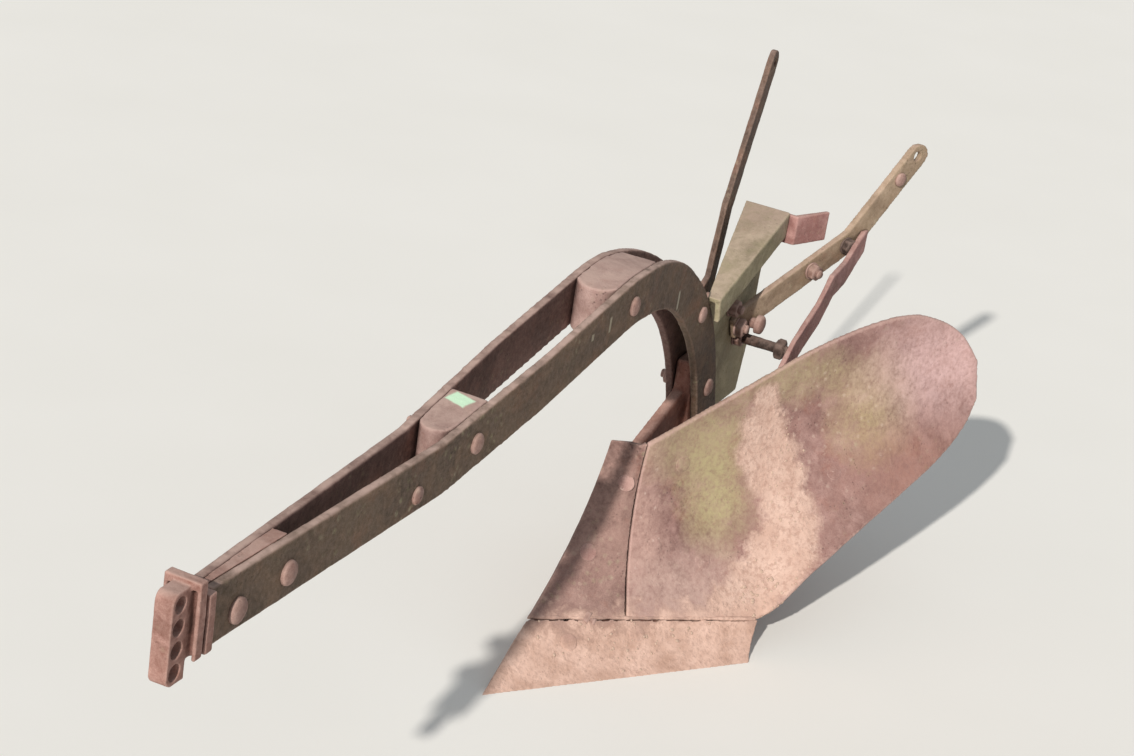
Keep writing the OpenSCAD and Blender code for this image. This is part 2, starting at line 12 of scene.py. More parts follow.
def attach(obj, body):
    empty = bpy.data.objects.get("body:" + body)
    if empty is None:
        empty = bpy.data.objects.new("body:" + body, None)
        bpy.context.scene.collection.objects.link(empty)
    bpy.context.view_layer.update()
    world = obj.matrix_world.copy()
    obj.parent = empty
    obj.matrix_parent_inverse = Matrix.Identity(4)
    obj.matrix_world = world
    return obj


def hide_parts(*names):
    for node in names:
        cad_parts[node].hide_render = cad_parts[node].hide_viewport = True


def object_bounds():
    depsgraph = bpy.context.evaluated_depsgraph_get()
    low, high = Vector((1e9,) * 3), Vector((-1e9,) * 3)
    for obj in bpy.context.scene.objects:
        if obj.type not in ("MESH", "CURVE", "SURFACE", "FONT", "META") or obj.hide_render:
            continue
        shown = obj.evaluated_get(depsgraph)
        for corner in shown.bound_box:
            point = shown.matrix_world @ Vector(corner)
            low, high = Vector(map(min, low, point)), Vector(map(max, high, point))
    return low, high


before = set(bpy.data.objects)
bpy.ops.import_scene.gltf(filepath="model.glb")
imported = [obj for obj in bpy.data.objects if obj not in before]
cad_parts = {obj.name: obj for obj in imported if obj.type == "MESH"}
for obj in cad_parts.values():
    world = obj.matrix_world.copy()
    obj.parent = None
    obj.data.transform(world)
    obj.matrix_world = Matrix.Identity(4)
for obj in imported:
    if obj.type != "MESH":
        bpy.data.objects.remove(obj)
cad_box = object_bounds()
random.seed(11)


# Camera and light

# The photograph's own viewpoint and heading, found from the beam's lines and the ground
VIEW_FROM = Vector((2.835, 0.999, 1.5))
AHEAD = Vector((-0.649, -0.677, -0.346)).normalized()
RIGHT = AHEAD.cross(Vector((0, 0, 1))).normalized()
UP = RIGHT.cross(AHEAD)
# The photograph's focal length and its middle, in its own pixels
PHOTO_FOCUS = 756
PHOTO_MIDDLE = (567, 378)
# The pixel of the photograph at which the longer lens is aimed
AIM = (875, 440)
LENS = 80
SENSOR_WIDTH = 36
CLIP_START = 0.05

SUN_HEADING = Vector((-0.858, -0.052, -0.511))
SUN_STRENGTH = 3.5
SUN_ANGLE = math.radians(1.5)
SUN_TINT = (1.0, 0.95, 0.88)
SKY_TINT = (0.93, 0.97, 1.0, 1)
SKY_STRENGTH = 0.40
FLOOR_REACH = 30


def add_camera():
    data = bpy.data.cameras.new("camera")
    data.lens = LENS
    data.sensor_width = SENSOR_WIDTH
    data.clip_start = CLIP_START
    camera = bpy.data.objects.new("camera", data)
    bpy.context.scene.collection.objects.link(camera)
    bpy.context.scene.camera = camera
    way = AHEAD * PHOTO_FOCUS + RIGHT * (AIM[0] - PHOTO_MIDDLE[0]) - UP * (AIM[1] - PHOTO_MIDDLE[1])
    turn = AHEAD.rotation_difference(way)
    axes = (turn @ RIGHT, turn @ UP, -way.normalized())
    camera.location = VIEW_FROM
    camera.rotation_euler = Matrix(axes).transposed().to_euler()


def add_sun():
    sun = bpy.data.lights.new("sun", "SUN")
    sun.energy = SUN_STRENGTH
    sun.angle = SUN_ANGLE
    sun.color = SUN_TINT
    lamp = bpy.data.objects.new("sun", sun)
    lamp.rotation_euler = SUN_HEADING.to_track_quat("-Z", "Y").to_euler()
    bpy.context.scene.collection.objects.link(lamp)


def add_sky():
    world = bpy.data.worlds.new("studio")
    bpy.context.scene.world = world
    world.use_nodes = True
    sky = world.node_tree.nodes["Background"]
    sky.inputs["Color"].default_value = SKY_TINT
    sky.inputs["Strength"].default_value = SKY_STRENGTH


def add_floor():
    low = cad_box[0].z
    corners = [(x * FLOOR_REACH, y * FLOOR_REACH, low) for x, y in ((-1, -1), (1, -1), (1, 1), (-1, 1))]
    mesh = bpy.data.meshes.new("floor")
    mesh.from_pydata(corners, [], [(0, 1, 2, 3)])
    floor = bpy.data.objects.new("floor", mesh)
    bpy.context.scene.collection.objects.link(floor)
    shader = Shader("floor")
    tone = shader.mix(shader.noise(3, detail=2), rgb(236, 235, 231), rgb(241, 240, 237))
    shader.finish(tone, 0.9)
    mesh.materials.append(shader.material)


# Procedural materials

def rgb(*channels):
    """A tone's red, green and blue, from 0 to 255, as linear colour."""
    shares = [channel / 255 for channel in channels]
    return tuple(s / 12.92 if s < 0.04045 else ((s + 0.055) / 1.055) ** 2.4 for s in shares) + (1.0,)


class Shader:
    """A node tree whose helpers return sockets."""

    # How far the full height of the relief stands out
    RELIEF_DEPTH = 0.0012

    def __init__(self, name):
        self.material = bpy.data.materials.new(name)
        self.material.use_nodes = True
        self.tree = self.material.node_tree
        self.tree.nodes.clear()
        self.place = self.add("ShaderNodeTexCoord").outputs["Object"]
        geometry = self.add("ShaderNodeNewGeometry")
        self.normal = geometry.outputs["Normal"]
        self.pointiness = geometry.outputs["Pointiness"]

    def add(self, kind, inputs=(), **settings):
        node = self.tree.nodes.new(kind)
        for key, value in settings.items():
            setattr(node, key, value)
        for key, value in dict(inputs).items():
            self.put(node.inputs[key], value)
        return node

    def put(self, socket, value):
        if isinstance(value, bpy.types.NodeSocket):
            self.tree.links.new(value, socket)
        else:
            socket.default_value = value

    def math(self, operation, a, b=0.0):
        return self.add("ShaderNodeMath", {0: a, 1: b}, operation=operation).outputs[0]

    def plus(self, first, *others):
        for other in others:
            first = self.math("ADD", first, other)
        return first

    def times(self, first, *others):
        for other in others:
            first = self.math("MULTIPLY", first, other)
        return first

    def swing(self, value, amount):
        """A noise's value about zero, times amount."""
        return self.times(self.math("SUBTRACT", value, 0.5), amount)

    def vectors(self, operation, a, b=(0, 0, 0)):
        return self.add("ShaderNodeVectorMath", {0: a, 1: b}, operation=operation)

    def span(self, value, low, high, a=0.0, b=1.0):
        """The value's way from low to high, as a way from a to b."""
        names = {"Value": value, "From Min": low, "From Max": high, "To Min": a, "To Max": b}
        return self.add("ShaderNodeMapRange", names, clamp=True).outputs[0]

    def noise(self, scale, detail=4.0, rough=0.55, at=None, twist=0.0):
        names = {"Vector": at or self.place, "Scale": scale}
        names.update({"Detail": detail, "Roughness": rough, "Distortion": twist})
        return self.add("ShaderNodeTexNoise", names).outputs[0]

    def cells(self, scale, at=None):
        names = {"Vector": at or self.place, "Scale": scale}
        return self.add("ShaderNodeTexVoronoi", names).outputs["Distance"]

    def stretched(self, factors):
        return self.vectors("MULTIPLY", self.place, factors).outputs[0]

    def part(self, vector, axis):
        return self.add("ShaderNodeSeparateXYZ", {"Vector": vector}).outputs[axis]

    def mix(self, factor, a, b):
        return self.add("ShaderNodeMix", {0: factor, 6: a, 7: b}, data_type="RGBA").outputs[2]

    def patch(self, centre, radii, soft, ragged, scale=30):
        """1 inside an ellipsoid about centre, 0 outside, with a ragged rim."""
        moved = self.vectors("SUBTRACT", self.place, centre).outputs[0]
        scaled = self.vectors("DIVIDE", moved, radii).outputs[0]
        length = self.vectors("LENGTH", scaled).outputs["Value"]
        wander = self.swing(self.noise(scale, detail=6, rough=0.62), ragged * 2)
        return self.span(self.plus(length, wander), 1 + soft, 1 - soft)

    def slab(self, centre, radii, turn, soft=0.12):
        """1 inside a box about centre that is turned about Z, 0 outside."""
        moved = self.add("ShaderNodeMapping", {"Vector": self.place}, vector_type="TEXTURE")
        self.put(moved.inputs["Location"], centre)
        self.put(moved.inputs["Rotation"], (0, 0, turn))
        self.put(moved.inputs["Scale"], radii)
        wander = self.swing(self.noise(260, detail=3), 0.2)
        sides = [self.math("ABSOLUTE", self.part(moved.outputs[0], axis)) for axis in "XYZ"]
        far = self.math("MAXIMUM", self.math("MAXIMUM", sides[0], sides[1]), sides[2])
        return self.span(self.plus(far, wander), 1 + soft, 1 - soft)

    def finish(self, colour, roughness, height=None, strength=1.0):
        surface = self.add("ShaderNodeBsdfPrincipled")
        self.put(surface.inputs["Base Color"], colour)
        self.put(surface.inputs["Roughness"], roughness)
        self.put(surface.inputs["Specular IOR Level"], 0.3)
        if height is not None:
            names = {"Strength": strength, "Distance": self.RELIEF_DEPTH, "Height": height}
            self.put(surface.inputs["Normal"], self.add("ShaderNodeBump", names).outputs[0])
        out = self.add("ShaderNodeOutputMaterial")
        self.put(out.inputs[0], surface.outputs[0])


# Tones of what lies on the iron
DUST = rgb(186, 160, 150)
LICHEN = rgb(146, 143, 98)
PALE_LICHEN = rgb(190, 190, 160)
ORANGE = rgb(158, 92, 62)
# Near black: the colour of pits, and of the painted shade in inner corners
PIT_SOOT_AND_SHADE = rgb(44, 34, 29)
SOIL = rgb(184, 150, 134)
PALE_SOIL = rgb(214, 181, 166)
PINK_SOIL = rgb(213, 184, 170)
SHADED_SOIL = rgb(160, 124, 110)
MUD = rgb(208, 178, 165)
# How soft and how ragged the rim of each kind of patch is
RIMS = {"wash": (0.6, 0.8), "dots": (0.3, 0.3)}
BAND_RIM = (0.30, 0.42)
# How wide the shading of inner corners is
CORNER_REACH = 0.012
# How far mud thins out below its top, and how far its top wanders
MUD_FADE = 0.02
MUD_WANDER = 0.09


class Rust(Shader):
    """Rusted iron that is laid on coat by coat, each one over those before it."""

    def __init__(self, name, dark, middle, light):
        super().__init__(name)
        self.dark = dark
        self.light = light
        self.dusty = self.mix(0.5, light, DUST)
        self.blotch = self.noise(34, detail=7, rough=0.64, twist=0.4)
        self.fine = self.noise(190, detail=6, rough=0.66)
        self.grain = self.noise(850, detail=3, rough=0.6)
        coarse = self.times(self.noise(70, detail=6, rough=0.7), 0.4)
        self.crumbly = self.plus(self.times(self.fine, 0.6), coarse)
        self.clods = self.times(self.span(self.cells(150), 0.55, 0.15), self.span(self.fine, 0.35, 0.65))
        worn_away = self.span(self.noise(26, detail=3), 0.46, 0.60)
        self.hollows = self.times(self.span(self.cells(170), 0.26, 0.06), worn_away)
        self.colour = self.mix(self.span(self.noise(7, detail=5, rough=0.6), 0.36, 0.64), dark, middle)
        relief = self.plus(self.times(self.fine, 0.5), self.times(self.grain, 0.22))
        relief = self.plus(relief, self.times(self.blotch, 0.5))
        self.relief = self.math("SUBTRACT", relief, self.times(self.hollows, 0.45))

    def coat(self, factor, tone):
        self.colour = self.mix(factor, self.colour, tone)

    def raise_where(self, area, height):
        self.relief = self.plus(self.relief, self.times(area, height))

    def mottle(self, streak, orange):
        runs = self.noise(5, detail=6, rough=0.6, at=self.stretched(streak))
        blooms = self.span(self.noise(21, detail=6, rough=0.7), 0.55, 0.68)
        self.coat(self.span(self.blotch, 0.47, 0.70, 0, 0.85), self.light)
        self.coat(self.span(runs, 0.50, 0.72, 0, 0.45), self.dark)
        self.coat(self.times(blooms, orange), ORANGE)
        self.coat(self.span(self.fine, 0.30, 0.72, 0.0, 0.42), self.dusty)
        self.coat(self.span(self.grain, 0.62, 0.36, 0.0, 0.35), self.dark)

    def blacken_pits(self, amount):
        self.coat(self.times(self.hollows, amount), PIT_SOOT_AND_SHADE)

    def grow_lichen(self, amount):
        cells = self.cells(88, at=self.stretched((1, 1, 1.01)))
        spots = self.times(self.span(cells, 0.40, 0.16), self.span(self.noise(13, detail=5), 0.50, 0.62))
        spots = self.times(spots, self.span(self.fine, 0.35, 0.6))
        self.coat(self.times(spots, amount), self.mix(self.span(self.blotch, 0.4, 0.6), LICHEN, PALE_LICHEN))

    def dust_tops(self, amount):
        level = self.span(self.part(self.normal, "Z"), 0.45, 0.95)
        self.coat(self.times(level, self.span(self.blotch, 0.25, 0.60), amount), DUST)

    def facing(self, way):
        """1 where the surface looks along way, 0 on its back."""
        toward = self.vectors("DOT_PRODUCT", self.normal, way).outputs["Value"]
        return self.span(toward, -0.05, 0.15)

    def stain(self, centre, radii, tone, amount, kind, front):
        area = self.times(self.patch(centre, radii, *RIMS[kind]), amount, front)
        if kind == "wash":
            area = self.times(area, self.span(self.crumbly, 0.36, 0.58, 0.35, 1.0))
        else:
            dots = self.times(self.span(self.cells(75), 0.24, 0.15), self.span(self.fine, 0.40, 0.55))
            area = self.times(area, dots)
        self.coat(area, tone)

    def cake_with_soil(self, band, front):
        """Dried soil over all parts of the band, crumbly at its rim and mottled inside."""
        cover = 0.0
        for centre, radii in band:
            cover = self.math("MAXIMUM", cover, self.patch(centre, radii, *BAND_RIM, scale=42))
        cover = self.plus(cover, self.swing(self.crumbly, 1.6))
        cover = self.times(self.span(cover, 0.24, 0.84, 0, 0.96), front)
        broad = self.span(self.noise(30, detail=7, rough=0.68), 0.38, 0.62)
        shade = self.span(self.noise(120, detail=5, rough=0.75), 0.46, 0.60, 0, 0.60)
        dried = self.mix(shade, self.mix(broad, self.mix(0.6, MUD, SOIL), PINK_SOIL), SHADED_SOIL)
        self.coat(cover, self.mix(self.times(self.clods, 0.6), dried, PALE_SOIL))
        self.raise_where(cover, self.plus(0.35, self.times(self.clods, 1.4)))

    def wear_edges(self, amount):
        rim = self.span(self.plus(self.pointiness, self.swing(self.fine, 0.05)), 0.515, 0.575)
        self.coat(self.times(rim, amount), self.dusty)

    # Painted shade: where ambient occlusion finds inner corners, the colour darkens towards near black and
    # the dark rust tone
    def paint_corner_shade(self):
        names = {"Distance": CORNER_REACH}
        openness = self.add("ShaderNodeAmbientOcclusion", names, samples=6).outputs["AO"]
        corner_shade_tone = self.mix(self.span(self.blotch, 0.4, 0.6), PIT_SOOT_AND_SHADE, self.dark)
        self.coat(self.span(openness, 0.75, 0.2, 0, 0.75), corner_shade_tone)

    def splash_with_mud(self, amount, top):
        level = self.plus(self.part(self.place, "Z"), self.swing(self.blotch, MUD_WANDER))
        thick = self.span(self.fine, 0.25, 0.5, 0.6 * amount, amount)
        ground = self.times(self.span(level, top, top - MUD_FADE), thick)
        self.coat(ground, self.mix(self.span(self.blotch, 0.35, 0.65), PALE_SOIL, SOIL))
        self.raise_where(ground, self.plus(0.4, self.clods))


def rusty(name, dark, middle, light, dust=0.5, mud=0.0, mud_top=0.05, lichen=0.2, orange=0.35, worn=0.5,
          pits=0.5, bump=0.6, patches=(), band=(), paint=(), face=None, streak=(6, 6, 6)):
    """Rusted iron: mottled tones, pits, lichen, dust on top, patches, worn edges, painted shade in inner
    corners and mud near the ground.
    """
    rust = Rust(name, rgb(*dark), rgb(*middle), rgb(*light))
    rust.mottle(streak, orange)
    rust.blacken_pits(pits)
    rust.grow_lichen(lichen)
    rust.dust_tops(dust)
    front = rust.facing(face) if face else 1.0
    for centre, radii, tone, amount, kind in patches:
        rust.stain(centre, radii, rgb(*tone), amount, kind, front)
    for centre, radii, turn, tone in paint:
        rust.coat(rust.slab(centre, radii, turn), rgb(*tone))
    if band:
        rust.cake_with_soil(band, front)
    rust.wear_edges(worn)
    # Painted shade in inner corners
    rust.paint_corner_shade()
    if mud:
        rust.splash_with_mud(mud, mud_top)
    rust.finish(rust.colour, rust.span(rust.blotch, 0.2, 0.8, 0.62, 0.93), rust.relief, bump)
    return rust.material


# The face's normal near the frog, towards the ploughed side
FACE_OUT = Vector((0.72, 0.62, 0.32)).normalized()
# A band of dried soil down the face: centres and radii of its overlapping parts
SOIL_BAND = (
    ((0.061, 0.144, 0.284), (0.021, 0.021, 0.024)),
    ((0.062, 0.148, 0.249), (0.036, 0.036, 0.028)),
    ((0.063, 0.157, 0.217), (0.048, 0.048, 0.028)),
    ((0.057, 0.176, 0.186), (0.040, 0.040, 0.030)),
    ((0.060, 0.194, 0.158), (0.037, 0.037, 0.030)),
    ((0.072, 0.208, 0.132), (0.040, 0.040, 0.030)),
    ((0.094, 0.211, 0.108), (0.050, 0.050, 0.030)),
    ((0.122, 0.207, 0.083), (0.052, 0.052, 0.027)),
    ((0.155, 0.198, 0.058), (0.050, 0.050, 0.025)),
)
# Stains: middle, half sizes, tone, amount, kind
FACE_PATCHES = (
    ((0.15, 0.095, 0.25), (0.10, 0.06, 0.045), (176, 163, 126), 0.75, "wash"),
    ((0.130, 0.125, 0.175), (0.042, 0.042, 0.062), (178, 168, 126), 0.80, "wash"),
    ((0.03, 0.17, 0.315), (0.10, 0.07, 0.03), (172, 160, 122), 0.60, "wash"),
    ((-0.078, 0.240, 0.260), (0.06, 0.05, 0.06), (184, 166, 126), 0.70, "wash"),
    ((-0.17, 0.30, 0.310), (0.10, 0.10, 0.07), (212, 178, 176), 0.85, "wash"),
    ((-0.12, 0.30, 0.17), (0.09, 0.08, 0.06), (166, 120, 106), 0.55, "wash"),
    ((0.225, 0.070, 0.17), (0.028, 0.030, 0.11), (198, 164, 153), 0.65, "wash"),
    ((0.23, 0.068, 0.17), (0.03, 0.035, 0.10), (222, 202, 190), 0.65, "dots"),
    ((-0.02, 0.21, 0.24), (0.12, 0.10, 0.10), (206, 184, 170), 0.30, "dots"),
    ((0.20, 0.13, 0.06), (0.09, 0.09, 0.045), (190, 162, 152), 0.75, "wash"),
)
SHIN_PATCHES = (
    ((0.25, 0.035, 0.16), (0.05, 0.05, 0.06), (162, 132, 122), 0.5, "wash"),
    ((0.30, 0.04, 0.09), (0.06, 0.05, 0.05), (190, 164, 150), 0.4, "dots"),
)
BRACKET_PATCHES = (
    ((-0.14, 0.03, 0.45), (0.04, 0.05, 0.03), (170, 146, 136), 0.6, "wash"),
)
# Marks: middle, half sizes, turn about Z, tone. Three pale scrapes on the left bar, a dab on the spacer
BAR_MARKS = (
    ((0.189, 0.052, 0.430), (0.0028, 0.006, 0.012), 0, (158, 150, 134)),
    ((0.419, 0.060, 0.471), (0.0024, 0.006, 0.009), 0, (150, 140, 122)),
    ((0.465, 0.060, 0.470), (0.0030, 0.006, 0.004), 0, (146, 136, 118)),
)
SPACER_MARK = (
    ((0.704, 0.022, 0.4645), (0.0095, 0.0128, 0.02), -0.28, (206, 238, 208)),
)
# Streaks that run along the beam, and streaks that run up the face
ALONG = (1.2, 9, 9)
SHARE_ALONG = (2, 9, 9)
UP_FACE = (2.2, 2.2, 7)
# Each material's dark, middle and light tone, and how it is weathered
MATERIALS = {
    "bar_rust": ((58, 46, 35), (94, 78, 60), (122, 98, 78),
                 dict(dust=1.0, lichen=0.35, orange=0.2, paint=BAR_MARKS, streak=ALONG)),
    "inner_bar_rust": ((66, 44, 40), (108, 77, 70), (136, 104, 96),
                       dict(dust=1.0, lichen=0.2, orange=0.2, streak=ALONG)),
    "head_rust": ((112, 74, 64), (160, 118, 106), (194, 154, 144),
                  dict(dust=0.6, orange=0.3, bump=0.9)),
    "spacer_rust": ((128, 98, 92), (178, 146, 139), (204, 175, 168),
                    dict(dust=0.9, bump=0.9, paint=SPACER_MARK)),
    "frog_rust": ((104, 62, 50), (156, 102, 86), (190, 132, 114),
                  dict(dust=0.5, mud=0.6, orange=0.45, bump=1.0)),
    "share_rust": ((108, 78, 70), (152, 118, 106), (184, 152, 140),
                   dict(dust=0.3, mud=1.0, mud_top=0.060, lichen=0.1, orange=0.3, worn=0.7,
                        streak=SHARE_ALONG)),
    "shin_rust": ((88, 62, 57), (138, 105, 98), (172, 138, 129),
                  dict(dust=0.3, mud=0.85, mud_top=0.066, lichen=0.35, patches=SHIN_PATCHES)),
    "board_rust": ((116, 84, 79), (158, 120, 113), (186, 150, 143),
                   dict(dust=0.15, mud=0.85, mud_top=0.066, lichen=0.25, orange=0.22, worn=1.0,
                        patches=FACE_PATCHES, band=SOIL_BAND, face=FACE_OUT, streak=UP_FACE)),
    "landside_rust": ((70, 48, 40), (112, 82, 68), (152, 118, 100),
                      dict(dust=0.6, mud=0.9, orange=0.4, streak=ALONG)),
    "strap_rust": ((122, 102, 82), (168, 147, 120), (196, 174, 150),
                   dict(dust=0.5, lichen=0.4, orange=0.25)),
    # Painted shade: the right strap takes a darkened copy of the strap tones, because that strap lies in
    # shade
    "shade_painted_strap_rust": ((52, 38, 32), (86, 66, 54), (120, 96, 80),
                        dict(dust=0.5, lichen=0.3)),
    "bracket_rust": ((112, 105, 80), (166, 157, 124), (196, 186, 154),
                     dict(dust=0.45, lichen=0.6, orange=0.12, patches=BRACKET_PATCHES)),
    "red_strap_rust": ((118, 75, 71), (172, 123, 117), (204, 160, 154),
                       dict(dust=0.5, orange=0.3)),
    "bolt_rust": ((112, 82, 74), (158, 124, 114), (196, 164, 154),
                  dict(dust=0.5, orange=0.35, bump=0.8)),
    # Near-black tones for the dark bolts and for the painted shadow bead in the shin's seam
    "dark_bolt_and_painted_shadow_rust": ((30, 22, 19), (48, 36, 31), (74, 58, 50),
                  dict(dust=0.3, lichen=0.1, orange=0.15)),
    "dried_soil": ((150, 122, 104), (192, 164, 144), (220, 194, 174),
                   dict(dust=0.2, lichen=0.0, orange=0.1, pits=0.3, bump=1.0)),
}


# Skins over the CAD nodes

SMOOTH_FACTOR = 0.5
# Rounds of smoothing before the vertices are put back near the CAD surface, and after that
ROUNDS_BEFORE = 3
ROUNDS_AFTER = 2
# The share of a vertex's way back to the CAD surface
SETTLING = 0.9
WELD = 2e-6
WAVE_SIZE = 0.05
PIT_SIZE = 0.007
PIT_STRENGTH = 0.0005
# Each skin's node, material, slot, voxel size and strength of its waves
SKINS = (
    ("beam_bar_left", "bar_rust", "bar_steel", 0.0019, 0.0008),
    ("beam_bar_right", "inner_bar_rust", "bar_steel", 0.0019, 0.0008),
    ("hitch_head", "head_rust", "head_iron", 0.0013, 0.0012),
    ("middle_spacer", "spacer_rust", "spacer_iron", 0.0020, 0.0015),
    ("rear_spacer", "spacer_rust", "spacer_iron", 0.0022, 0.0015),
    ("frog", "frog_rust", "frog_iron", 0.0030, 0.0015),
    ("share", "share_rust", "share_steel", 0.0015, 0.0012),
    ("shin", "shin_rust", "shin_steel", 0.0017, 0.0008),
    ("moldboard", "board_rust", "board_steel", 0.0025, 0.0012),
    ("landside", "landside_rust", "landside_steel", 0.0022, 0.0008),
    ("landside_heel", "landside_rust", "landside_steel", 0.0018, 0.0008),
    ("moldboard_brace", "landside_rust", "landside_steel", 0.0020, 0.0008),
    ("handle_bracket", "bracket_rust", "strap_steel", 0.0018, 0.0008),
    ("handle_strap_left", "strap_rust", "strap_steel", 0.0016, 0.0008),
    ("handle_strap_right", "shade_painted_strap_rust", "strap_steel", 0.0016, 0.0008),
    ("strap_cross_piece", "red_strap_rust", "strap_steel", 0.0015, 0.0008),
    ("moldboard_stay", "red_strap_rust", "strap_steel", 0.0017, 0.0008),
)


class Surface:
    """Finds places on a CAD node's surface."""

    def __init__(self, node):
        bm = bmesh.new()
        bm.from_mesh(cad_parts[node].data)
        self.tree = BVHTree.FromBMesh(bm)
        bm.free()

    def hit(self, start, way):
        """The place that a ray meets first and the normal there, against the ray."""
        at, normal, _, _ = self.tree.ray_cast(Vector(start), Vector(way).normalized())
        if at is None:
            return None, None
        if normal.dot(Vector(way)) > 0:
            normal = -normal
        return at, normal


def new_piece(name, bm, material):
    mesh = bpy.data.meshes.new(name)
    bm.to_mesh(mesh)
    bm.free()
    piece = bpy.data.objects.new(name, mesh)
    bpy.context.scene.collection.objects.link(piece)
    mesh.materials.append(material)
    mesh.polygons.foreach_set("use_smooth", [True] * len(mesh.polygons))
    return piece


def remesh_with(piece, voxel):
    remesh = piece.modifiers.new("remesh", "REMESH")
    remesh.mode = "VOXEL"
    remesh.voxel_size = voxel
    remesh.use_smooth_shade = True


def soften_with(piece, rounds):
    smooth = piece.modifiers.new("smooth", "SMOOTH")
    smooth.factor = SMOOTH_FACTOR
    smooth.iterations = rounds


def displace_with(piece, name, size, depth, strength):
    clouds = bpy.data.textures.new(piece.name + "_" + name, "CLOUDS")
    clouds.noise_scale = size
    clouds.noise_depth = depth
    displace = piece.modifiers.new(name, "DISPLACE")
    displace.texture = clouds
    displace.texture_coords = "GLOBAL"
    displace.strength = strength
    displace.mid_level = 0.5


def settle(piece, tree):
    """Applies the modifiers and puts the vertices back near the CAD surface, so that edges run straight."""
    evaluated = piece.evaluated_get(bpy.context.evaluated_depsgraph_get())
    mesh = bpy.data.meshes.new_from_object(evaluated)
    for vertex in mesh.vertices:
        at = tree.find_nearest(vertex.co)[0]
        vertex.co = vertex.co.lerp(at, SETTLING)
    piece.modifiers.clear()
    piece.data = mesh


def skin(node, material, voxel, wave):
    """A rounded, slightly uneven copy of a CAD node's surface, shown in its place."""
    bm = bmesh.new()
    bm.from_mesh(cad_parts[node].data)
    bmesh.ops.remove_doubles(bm, verts=bm.verts, dist=WELD)
    piece = new_piece(node + "_skin", bm, material)
    remesh_with(piece, voxel)
    soften_with(piece, ROUNDS_BEFORE)
    settle(piece, Surface(node).tree)
    soften_with(piece, ROUNDS_AFTER)
    displace_with(piece, "wave", WAVE_SIZE, 2, wave)
    displace_with(piece, "pits", PIT_SIZE, 3, PIT_STRENGTH)
    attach(piece, "root")
    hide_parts(node)


# Bolts, nuts and rods

# How far the points of domes, of nuts and of rods lie off their true places, and the size of that noise
ROUGH_DOME = 0.0004
ROUGH_NUT = 0.00025
ROUGH_ROD = 0.0005
ROUGH_SCALE = 160
COLLAR = 0.0018
# A dome's rings, the width of its flat crown, and its foot, which stands a little inside the surface
DOME_RINGS = 8
DOME_CROWN = 0.05
DOME_FOOT = 0.98
DOME_DEPTH = 0.001
# A washer's thickness, its rounded edge and how deep it stands inside the surface
WASHER = 0.0022
WASHER_EDGE = 0.8
WASHER_TOP = 0.96
WASHER_DEPTH = 0.0005
# A nut's washer, foot and crown, as shares of its width across the flats
WASHER_SHARE = 0.62
FOOT_SHARE = 0.55
CROWN_SHARE = 0.54
# How deep the nut's foot stands in the washer, and how high its two chamfers are
NUT_DEPTH = 0.0004
LOWER_CHAMFER = 0.0012
UPPER_CHAMFER = 0.0016
THREAD_PITCH = 0.0018
THREAD_DEPTH = 0.0006
# How deep the thread starts inside the nut, and how much narrower its end is
THREAD_ROOT = 0.002
THREAD_POINT = 0.8
ROD_STEPS = 24
ROD_SIDES = 28
# How much a rod's radius changes from ring to ring, and how fast
ROD_UNEVENNESS = 0.02
ROD_BEAT = 31
# A thin collar and a low dome, as on a countersunk head that lies flush
FLUSH_COLLAR = 0.0008
FLUSH_HEIGHT = 0.0016
# The usual nut: across its flats, height, thread and the thread's end beyond it
USUAL_NUT = dict(flats=0.021, height=0.010, thread=0.012, stub=0.007)


def place_frame(at, axis):
    return Matrix.Translation(at) @ Vector(axis).normalized().to_track_quat("Z", "Y").to_matrix().to_4x4()


def skin_rings(bm, rows, place, rough=ROUGH_NUT):
    """Joins closed rings of points, from the first to the last, and closes both ends."""
    made = []
    for row in rows:
        points = [place @ Vector(p) for p in row]
        made.append([bm.verts.new(q + rough * noise.noise_vector(q * ROUGH_SCALE)) for q in points])
    n = len(made[0])
    for a, b in zip(made, made[1:]):
        for i in range(n):
            bm.faces.new((a[i], a[(i + 1) % n], b[(i + 1) % n], b[i]))
    bm.faces.new(list(reversed(made[0])))
    bm.faces.new(made[-1])


def ring(radius, z, n=36):
    """A closed ring of points. The radius is a number or a function of the angle."""
    radii = radius if callable(radius) else (lambda angle: radius)
    angles = [2 * math.pi * i / n for i in range(n)]
    return [(radii(a) * math.cos(a), radii(a) * math.sin(a), z) for a in angles]


def sided(sides, flats, limit):
    """The radius of a bar with flat sides as a function of the angle. The limit cuts off its corners."""
    def radius(angle):
        step = 2 * math.pi / sides
        return min(limit, flats / 2 / math.cos((angle + step / 2) % step - step / 2))
    return radius


def dome(bm, at, axis, radius, height, collar=COLLAR):
    """A round head with an upright collar below its dome."""
    rows = [ring(radius * DOME_FOOT, -DOME_DEPTH), ring(radius, 0.0), ring(radius, collar)]
    for k in range(1, DOME_RINGS):
        rise = k / DOME_RINGS * math.pi / 2
        rows.append(ring(radius * math.cos(rise), collar + (height - collar) * math.sin(rise)))
    rows.append(ring(radius * DOME_CROWN, height))
    skin_rings(bm, rows, place_frame(at, axis), ROUGH_DOME)


def flush_head(bm, at, axis, radius):
    dome(bm, at, axis, radius, FLUSH_HEIGHT, collar=FLUSH_COLLAR)


def washer(bm, place, wide):
    rows = [ring(wide, -WASHER_DEPTH), ring(wide, WASHER * WASHER_EDGE), ring(wide * WASHER_TOP, WASHER)]
    skin_rings(bm, rows, place)


def thread_end(bm, place, low, thread, stub):
    """The end of a thread that stands out beyond the nut."""
    rows = [ring(thread / 2, low - THREAD_ROOT)]
    for k in range(int(stub / THREAD_PITCH)):
        z = low + k * THREAD_PITCH
        rows.append(ring(thread / 2 - THREAD_DEPTH, z))
        rows.append(ring(thread / 2, z + THREAD_PITCH / 2))
    rows.append(ring(thread / 2 * THREAD_POINT, low + stub))
    skin_rings(bm, rows, place)


